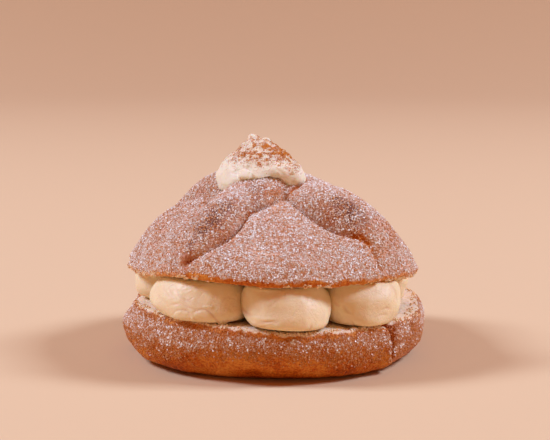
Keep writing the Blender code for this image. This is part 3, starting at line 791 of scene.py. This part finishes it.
# Where the crust is darker and lighter: x, y and spread in millimetres, and the change of shade.
# The darker spots are partly the oven's browning of the bones and partly painted shade on their lower front
# sides.
BROWNED_AND_SHADED = [
    (-15.0, -28.5, 4.5, 0.25), (-19.0, -33.0, 5.0, 0.55), (-22.5, -37.5, 4.8, 0.65), (-26.5, -40.5, 4.0, 0.7),
    (-31.0, -42.8, 3.0, 0.55), (-24.0, -30.0, 4.5, 0.3), (20.0, -25.5, 3.0, 0.12), (24.5, -27.5, 3.5, 0.5),
    (29.0, -29.0, 3.8, 0.6), (34.0, -30.5, 3.2, 0.3), (-21.0, -24.5, 4.0, 0.3),
    (-26.0, -31.0, 4.0, 0.45), (-30.5, -36.5, 3.5, 0.5), (-7.0, -21.0, 5.0, 0.25),
]
PALE = [
    (1.0, -23.5, 5.0, 0.20), (-29.0, -50.0, 5.0, 0.25), (-45.0, -34.0, 9.0, 0.16), (43.0, -30.0, 7.0, 0.12),
    (39.0, -38.0, 5.0, 0.15), (17.0, -20.0, 4.0, 0.08),
]
# Where fine sugar dust lies with few grains on it: x, y and spread, and the grains' loss.
SHEER = [(45.0, -24.0, 9.0, 0.40), (-40.0, -8.0, 10.0, 0.38), (24.0, -19.0, 4.0, 0.15)]
# A smear of pale crumb low on the front: x, y and spread.
SMEAR = (-3.3, -50.9, 1.5)
# How bare of sugar the crust is just over the cut, by azimuth from the front.
BARE_EDGE = [(-180, 0.3), (-42, 0.3), (-30, 1), (30, 1), (42, 0.4), (180, 0.3)]


def above_the_cut(co):
    """How far each point lies over the cut rim of the crown."""
    return co[:, 2] - (CUT_HEIGHT - CUT_FALL * co[:, 0] + around(co, RIM_SWAY) * MM)


co_plan = co[:, :2] / MM
browned, pale, sheer = (
    np.max([
        share * bell(np.linalg.norm(co_plan - (x, y), axis=1) / spread)
        for x, y, spread, share in rows
    ], axis=0)
    for rows in (BROWNED_AND_SHADED, PALE, SHEER)
)
on_bone = smoothstep(0.5, 4.5, bone)
# The bones' sides that face further down than the dome are painted darker with less sugar, as shade.
shaded_bone_flank = smoothstep(0.06, 0.5, dome_out[:, 2] - out[:, 2]) * on_bone
shaded_bone_flank *= smoothstep(38 * MM, 30 * MM, co[:, 0])
# In the creases the crust is bare of sugar and painted darker, as shade; less so left of the bones and
# towards the back.
crease_shade = smoothstep(0.5, 1.8, dent) * (1 - 0.65 * smoothstep(-14 * MM, -22 * MM, co[:, 0]))
crease_shade *= 1 - 0.65 * smoothstep(-11 * MM, -5 * MM, co[:, 1])
# Just over the cut the crust is bare of sugar, and painted darker as shade where it curls under.
bare_shaded_edge = smoothstep(1.8 * MM, 0.6 * MM, above_the_cut(co) + 0.8 * MM * lumps(co, 3.5 * MM, 63))
bare_shaded_edge *= around(co, BARE_EDGE)
frost = 0.92 - 0.22 * shaded_bone_flank - pale - 0.60 * crease_shade - 0.95 * bare_shaded_edge + 0.12 * lumps(co, 8 * MM, 7)
frost = np.clip(frost, 0, 1) * (1 - cut)
smear = bell(np.linalg.norm(co_plan - SMEAR[:2], axis=1) / SMEAR[2])
keep(
    crown,
    cut=np.maximum(cut, 0.85 * smear),
    pore=np.zeros(len(co)),
    brown=np.clip(
        0.26 + 0.03 * on_bone + browned - pale + 0.05 * shaded_bone_flank + 0.16 * crease_shade + 0.15 * bare_shaded_edge
        + 0.12 * lumps(co, 12 * MM, 5), 0, 0.8,
    ),
    frost=frost + 1.2 * sheer * (1 - cut),
    grains=np.clip(frost - 0.6 * browned - 0.6 * sheer, 0, 1),
)
crown.data.shade_smooth()
crown.data.materials.append(bread)
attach(crown, "root")
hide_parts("crown")


# ======================================
# Cream on the summit
# A last dollop of the same cream, dropped on the bones' crossing and drawn up to a tip. It drapes
# over the higher bone in lobes, and its skin broke into small flaps where it was pulled off.
# ======================================

# Lobes and knobs that the spoon left: x, y, z and half-sizes, in millimetres.
TOPPER_LOBES = [
    (6.2, -10.6, 71.8, 5.6, 5.4, 4.6), (7.4, -12.2, 70.6, 4.0, 4.0, 3.8), (1.4, -11.2, 73.4, 5.0, 4.8, 3.4),
    (2.2, -1.6, 77.0, 4.6, 4.4, 3.6), (-0.6, -1.2, 79.8, 3.0, 3.6, 3.0), (-3.0, -1.4, 83.0, 2.2, 2.4, 2.4),
]
topper = copy_of_node("cream_topper", "summit_cream")
for x, y, z, *half_sizes in TOPPER_LOBES:
    bpy.ops.mesh.primitive_uv_sphere_add(
        segments=24, ring_count=16, radius=1.0, location=(x * MM, y * MM, z * MM),
        scale=[size * MM for size in half_sizes],
    )
    topper.select_set(True)
    bpy.context.view_layer.objects.active = topper
    bpy.ops.object.join()
modify(topper, "REMESH", mode="VOXEL", voxel_size=CREAM_VOXEL)
modify(topper, "SMOOTH", factor=0.5, iterations=22)

# The tip was drawn a little higher, and its left side was nudged in.
co = points(topper)
near_tip = smoothstep(82.0 * MM, 84.6 * MM, co[:, 2]) * smoothstep(-8 * MM, -11 * MM, co[:, 0])
co[:, 0] += 1.4 * MM * near_tip
co[:, 2] += 0.5 * MM * smoothstep(84 * MM, 86 * MM, co[:, 2])
move_points(topper, co)

# Its upper half broke into grains as the spoon was pulled off. A small round flap stuck to its front,
# and a thin ridge runs down beside it, both in millimetres: the flap's x, height, half-width,
# half-height and rise, and the ridge's x, height and rise.
FLAP = (-11.3, 72.3, 2.3, 1.9, 1.35)
RIDGE = [(0.2, 74.2, 0.1), (1.6, 73.0, 0.5), (3.8, 70.8, 0.5), (4.6, 69.8, 0.1)]
RIDGE_WIDTH = 0.55 * MM
out = outwards(topper)
rise = smoothstep(70 * MM, 79 * MM, co[:, 2])
bend = co + 1.0 * MM * np.stack([lumps(co, 3 * MM, k) for k in (11, 17, 23)], axis=1)
broken = np.abs(lumps(bend, 2.0 * MM, 31)) - 0.4
front = smoothstep(-0.1, -0.5, out[:, 1])
x, z, half_width, half_height, flap_rise = FLAP
out_of = from_spot(co / MM, x, z, half_width, half_height)
out_of = np.maximum(out_of, (z - co[:, 2] / MM) / (0.75 * half_height)) + 0.12 * lumps(co, 1.8 * MM, 77)
raised = flap_rise * MM * smoothstep(1.06, 0.9, out_of) * front
for x, z, height in smooth_line(RIDGE) * MM:
    near = from_spot(co, x, z, RIDGE_WIDTH, RIDGE_WIDTH)
    raised = np.maximum(raised, height * bell(near) * front)
co += out * (
    0.35 * MM * lumps(co, (8 * MM, 8 * MM, 6 * MM), 2)
    + (0.05 + 0.13 * rise) * MM * lumps(co, 2.6 * MM, 5)
    - (0.03 + 0.26 * rise) * MM * broken
    + 0.13 * MM * rise * lumps(co, 1.0 * MM, 9)
    + raised
)[:, None]
move_points(topper, co)

# Cinnamon fell on it from the right. Seen from the front: x and height of each patch and how far it
# spreads, in millimetres, and how thick it lies, as a share. Behind, it lies in a band.
CINNAMON_FALL = [
    (-8.7, 84.4, 0.8, 0.8), (-7.9, 83.0, 0.8, 0.9), (-6.4, 85.2, 0.6, 0.6), (-4.7, 82.8, 1.3, 0.5),
    (-2.7, 82.0, 1.7, 0.8), (-0.2, 81.2, 1.9, 1.0), (2.0, 80.2, 1.8, 1.0), (4.2, 79.2, 1.7, 0.9),
    (6.2, 77.8, 1.6, 0.6), (-5.8, 79.2, 1.9, 0.4), (-5.4, 76.6, 1.2, 0.4), (-12.4, 79.2, 1.9, 0.5),
    (-9.4, 79.6, 2.1, 0.5), (-2.4, 78.8, 2.2, 0.4), (2.2, 77.4, 2.0, 0.2), (5.4, 75.4, 1.6, 0.2),
    (6.8, 73.2, 1.2, 0.2), (8.8, 74.8, 1.5, 0.2), (-15.4, 77.2, 1.6, 0.2),
]
co, out = points(topper), outwards(topper)
fallen = np.zeros(len(co))
for x, z, spread, share in CINNAMON_FALL:
    fallen = np.maximum(fallen, share * bell(from_spot(co / MM, x, z, spread, spread)))
behind = 0.6 * bell((co[:, 2] / MM - 79.0) / 3.5)
fallen = np.where(co[:, 1] < 2 * MM, fallen, np.maximum(0.5 * fallen, behind))
fallen *= smoothstep(-0.1, 0.5, out[:, 2])
streaks = 0.7 * lumps(co, (2.4 * MM, 2.4 * MM, 0.9 * MM), 12) + 0.5 * lumps(co, 0.6 * MM, 13)
haze = np.clip(1.1 * fallen**1.2, 0, 0.95) * smoothstep(-0.9, 0.3, streaks)
fallen *= smoothstep(-0.6, 0.4, streaks) * smoothstep(-0.7, 0.3, lumps(co, 0.8 * MM, 19))
# The pits between the broken grains are painted darker, as shade.
keep(
    topper, fold=0.3 * rise * smoothstep(0.0, 0.5, broken), dust=haze, airy=np.ones(len(co)),
    chips=np.clip(1.3 * fallen, 0, 1),
)
topper.data.shade_smooth()
topper.data.materials.append(cream)
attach(topper, "root")
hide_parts("cream_topper")


# ======================================
# Sugar
# Granulated sugar stuck to the buttered crust: blocky clear crystals half a millimetre across, and
# smaller broken ones between them. They lie thickest on the crown and thin out towards the cuts.
# ======================================

# The three shapes of a crystal, as corners and faces, one unit across.
BLOCK = (
    np.array([(x, y, z) for x in (-0.5, 0.5) for y in (-0.5, 0.5) for z in (-0.5, 0.5)]),
    np.array([(0, 1, 3, 2), (4, 6, 7, 5), (0, 4, 5, 1), (2, 3, 7, 6), (0, 2, 6, 4), (1, 5, 7, 3)]),
)
SPLINTER = (
    np.array([(0.5, 0, 0), (-0.5, 0, 0), (0, 0.5, 0), (0, -0.5, 0), (0, 0, 0.5), (0, 0, -0.5)]),
    np.array([(0, 2, 4), (2, 1, 4), (1, 3, 4), (3, 0, 4), (2, 0, 5), (1, 2, 5), (3, 1, 5), (0, 3, 5)]),
)
SHARD = (
    np.array([(1, 1, 1), (1, -1, -1), (-1, 1, -1), (-1, -1, 1)]) * 0.35,
    np.array([(0, 1, 2), (0, 3, 1), (0, 2, 3), (1, 3, 2)]),
)


def random_turns(rng, count):
    """That many random rotation matrices."""
    turns = rng.normal(size=(4, count))
    x, y, z, w = turns / np.linalg.norm(turns, axis=0)
    return np.array([
        [1 - 2 * (y * y + z * z), 2 * (x * y - z * w), 2 * (x * z + y * w)],
        [2 * (x * y + z * w), 1 - 2 * (x * x + z * z), 2 * (y * z - x * w)],
        [2 * (x * z - y * w), 2 * (y * z + x * w), 1 - 2 * (x * x + y * y)],
    ]).transpose(2, 0, 1)


def scatter(name, piece, count, shape, size, spread, cover, seed, lift=0.2, whitest=1.0):
    """Joined copies of a small shape on a piece's skin, closer together where cover is larger.

    Sizes run from size*(1 - spread) to size*(1 + spread). lift is how far a copy's middle stands
    off the skin, as a share of its size. Copies that lie close together are whiter, up to whitest.
    """
    rng = np.random.default_rng(seed)
    mesh = piece.data
    mesh.calc_loop_triangles()
    corners = np.empty(len(mesh.loop_triangles) * 3, np.int32)
    mesh.loop_triangles.foreach_get("vertices", corners)
    corners = corners.reshape(-1, 3)
    co, out = points(piece), outwards(piece)
    a, b, c = (co[corners[:, i]] for i in range(3))
    area = np.linalg.norm(np.cross(b - a, c - a), axis=1)
    chance = area * np.clip(cover[corners].mean(axis=1), 0, None)
    picked = rng.choice(len(corners), count, p=chance / chance.sum())
    u, v = rng.random((2, count, 1))
    u, v = np.where(u + v > 1, 1 - u, u), np.where(u + v > 1, 1 - v, v)
    spot = a[picked] + u * (b[picked] - a[picked]) + v * (c[picked] - a[picked])
    sizes = size * (1 + spread * (2 * rng.random((count, 1)) - 1)) * rng.uniform(0.7, 1.15, (count, 3))
    corner_points, faces = shape
    local = corner_points[None] * sizes[:, None]
    turned = np.einsum("nij,nkj->nki", random_turns(rng, count), local)
    spot += out[corners[picked, 0]] * (lift * sizes.mean(axis=1))[:, None]
    placed = (turned + spot[:, None]).reshape(-1, 3)
    steps = np.arange(count)[:, None, None] * len(corner_points)
    made = bpy.data.meshes.new(name)
    made.from_pydata(placed.tolist(), [], (faces[None] + steps).reshape(-1, faces.shape[1]).tolist())
    made.update()
    grains = bpy.data.objects.new(name, made)
    bpy.context.scene.collection.objects.link(grains)
    # On sugar this whiteness paints the crust's light seen through the crystals; on crumbs and cinnamon it is
    # their own tone.
    whiteness = whitest * rng.random(count) * np.clip(1.6 * cover[corners[picked, 0]] - 0.35, 0.08, 1)
    keep(grains, tint=np.repeat(whiteness, len(corner_points)))
    return grains


# Sugar: colourless crystals. Light that has been in the crust comes back through them, so they look
# tinted, and a facet that faces a lamp flashes white.
# Their colour paints that light in: orange where the crystals lie thin, white where they lie thick.
sugar, tree, shader = new_material("granulated_sugar")
tint = add_node(tree, "Attribute", attribute_name="tint").outputs["Fac"]
crystal = add_node(tree, "ValToRGB", {"Fac": tint})
crystal.color_ramp.elements[0].color = linear("#D0802E")
crystal.color_ramp.elements[1].position = 0.6
crystal.color_ramp.elements[1].color = linear("#F8F6EF")
half = crystal.color_ramp.elements.new(0.3)
half.color = linear("#E4C6AC")
tree.links.new(crystal.outputs["Color"], shader.inputs["Base Color"])
shader.inputs["Roughness"].default_value = 0.36
shader.inputs["IOR"].default_value = 1.54


def layer_of(piece, name):
    """The numbers that keep() stored for each point."""
    values = np.empty(len(piece.data.vertices), np.float32)
    piece.data.attributes[name].data.foreach_get("value", values)
    return values.astype(float)


# What each kind is called, what it lies on, how many, shape, size and how white it is where it lies
# thick. On the lower half it lies thin, and more of the fine sugar melted in.
SUGAR = [
    ("crown_sugar", crown, 16000, BLOCK, 0.45 * MM, 1.0),
    ("crown_sugar_fine", crown, 24000, SPLINTER, 0.60 * MM, 0.9),
    ("crown_sugar_dust", crown, 48000, SHARD, 0.52 * MM, 0.8),
    ("lower_half_sugar", lower_half, 5000, BLOCK, 0.42 * MM, 1.6),
    ("lower_half_sugar_fine", lower_half, 10000, SPLINTER, 0.52 * MM, 0.6),
    ("lower_half_sugar_dust", lower_half, 46000, SHARD, 0.48 * MM, 0.35),
]
for seed, (name, piece, count, shape, size, whitest) in enumerate(SUGAR):
    clusters = np.clip(1 + 0.5 * lumps(points(piece), 1.2 * MM, 71), 0.15, None)
    cover = layer_of(piece, "grains") * smoothstep(-0.5, 0.3, outwards(piece)[:, 2]) * clusters
    grains = scatter(name, piece, count, shape, size, 0.35, cover, seed, whitest=whitest)
    grains.data.materials.append(sugar)
    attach(grains, "root")


# ======================================
# Crumbs
# What the bread knife tore out of the soft crumb. They cling to both cut rims as a ragged pale
# line, thin at the sides of the lower half.
# ======================================

# Torn crumb: dry, matte and cream-coloured, with light soaking a little way in.
crumb, tree, shader = new_material("torn_sweet_crumb")
tint = add_node(tree, "Attribute", attribute_name="tint").outputs["Fac"]
torn_colour = add_node(tree, "ValToRGB", {"Fac": tint})
torn_colour.color_ramp.elements[0].color = linear("#EFC08F")
torn_colour.color_ramp.elements[1].color = linear("#FCE7CD")
tree.links.new(torn_colour.outputs["Color"], shader.inputs["Base Color"])
shader.inputs["Roughness"].default_value = 0.9
shader.inputs["Subsurface Weight"].default_value = 0.3
shader.inputs["Subsurface Radius"].default_value = (0.8 * MM, 0.4 * MM, 0.2 * MM)
shader.inputs["Subsurface Scale"].default_value = 1.0

co = points(lower_half)
reach = reach_of(co) / BREAD_RADIUS
on_base = bell(below_the_rim(co) / (0.45 * MM)) * smoothstep(0.9, 0.97, reach)
on_base *= smoothstep(-0.4, 0.4, lumps(co, 3 * MM, 81)) * (1 - 0.8 * wide_tear / MM)
on_base *= around(co, [(-180, 1), (-110, 0.4), (-60, 0.4), (-45, 1), (180, 1)])
co = points(crown)
reach = reach_of(co) / BREAD_RADIUS
on_crown = bell(above_the_cut(co) / (0.5 * MM)) * smoothstep(0.9, 0.97, reach)
on_crown *= smoothstep(-0.1, 0.6, lumps(co, 3 * MM, 83))
for seed, (name, piece, count, cover) in enumerate([
    ("lower_half_crumbs", lower_half, 1200, on_base), ("crown_crumbs", crown, 600, on_crown),
]):
    crumbs = scatter(name, piece, count, BLOCK, 0.56 * MM, 0.5, cover, 21 + seed, lift=0.1)
    crumbs.data.materials.append(crumb)
    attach(crumbs, "root")


# ======================================
# Cinnamon
# Ground cinnamon tapped over the summit's cream from the right: chips of dry brown bark, a quarter
# of a millimetre across. Its finest dust only stains the cream, and is in the cream's colour.
# ======================================

strays = 0.012 * smoothstep(72 * MM, 78 * MM, points(topper)[:, 2])
cinnamon_cover = layer_of(topper, "chips") + strays
chips = scatter("cinnamon_chips", topper, 14000, SHARD, 0.27 * MM, 0.5, cinnamon_cover, 11, lift=0.1)

# Ground bark: dry, matte and orange-brown, each chip a little lighter or darker than the next.
cinnamon, tree, shader = new_material("ground_cinnamon")
tint = add_node(tree, "Attribute", attribute_name="tint").outputs["Fac"]
bark = add_node(tree, "ValToRGB", {"Fac": tint})
bark.color_ramp.elements[0].color = linear("#D48222")
bark.color_ramp.elements[1].color = linear("#F6AC44")
tree.links.new(bark.outputs["Color"], shader.inputs["Base Color"])
shader.inputs["Roughness"].default_value = 0.8
chips.data.materials.append(cinnamon)
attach(chips, "root")


# ======================================
# Floor, lights and camera
# A plain pale floor of paper that curves up far away, a large soft lamp on each side, warm light
# from all round, and a camera a little above the bread's middle.
# ======================================

FLOOR_FLAT, FLOOR_EDGE, FLOOR_RISE = 1.3, 4.5, 0.30  # flat out to 1.3 m, ending at 4.5 m
bpy.ops.mesh.primitive_grid_add(x_subdivisions=120, y_subdivisions=120, size=2 * FLOOR_EDGE)
floor = bpy.context.view_layer.objects.active
floor.name = "floor"
co = points(floor)
co[:, 2] = FLOOR_RISE * np.clip(reach_of(co) - FLOOR_FLAT, 0, None) ** 2
move_points(floor, co)
floor.data.shade_smooth()
# Uncoated paper: pale and quite matte.
paper, tree, shader = new_material("pale_paper")
shader.inputs["Base Color"].default_value = linear("#DBB98F")
shader.inputs["Roughness"].default_value = 0.9
floor.data.materials.append(paper)
floor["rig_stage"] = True

AIM = Vector((0.4, 0, 51.9)) * MM
LAMP_DISTANCE = 2.4
LAMP_RISE = math.radians(42)
LAMP_WIDTH, LAMP_HEIGHT = 0.6, 0.7
LAMP_POWER = 51.0
LAMP_COLOUR = (0.67, 0.84, 1.18)  # cool, against the warm light from all round
for name, bearing in (("lamp_left", -90), ("lamp_right", 90)):
    turn = math.radians(bearing)
    lamp = bpy.data.lights.new(name, "AREA")
    lamp.shape = "RECTANGLE"
    lamp.size, lamp.size_y = LAMP_WIDTH, LAMP_HEIGHT
    lamp.energy = LAMP_POWER
    lamp.color = LAMP_COLOUR
    stand = bpy.data.objects.new(name, lamp)
    bpy.context.scene.collection.objects.link(stand)
    towards = Vector((
        math.sin(turn) * math.cos(LAMP_RISE), -math.cos(turn) * math.cos(LAMP_RISE), math.sin(LAMP_RISE),
    ))
    stand.location = AIM + LAMP_DISTANCE * towards
    stand.rotation_euler = towards.to_track_quat("Z", "Y").to_euler()

ROOM_LIGHT = 0.40
world = bpy.data.worlds.new("studio")
bpy.context.scene.world = world
world.use_nodes = True
world.node_tree.nodes["Background"].inputs["Color"].default_value = linear("#FF9F38")
world.node_tree.nodes["Background"].inputs["Strength"].default_value = ROOM_LIGHT

CAMERA_DISTANCE = 0.560
CAMERA_RISE = math.radians(9.5)
FOCAL_LENGTH = 91.6  # mm, on a 36 mm sensor
lens = bpy.data.cameras.new("camera")
lens.sensor_width = 36
lens.lens = FOCAL_LENGTH
lens.clip_start = 0.01
camera = bpy.data.objects.new("camera", lens)
bpy.context.scene.collection.objects.link(camera)
behind = Vector((0, -math.cos(CAMERA_RISE), math.sin(CAMERA_RISE)))
camera.location = AIM + CAMERA_DISTANCE * behind
camera.rotation_euler = behind.to_track_quat("Z", "Y").to_euler()
bpy.context.scene.camera = camera
bpy.context.scene.view_settings.view_transform = "Standard"

low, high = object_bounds()
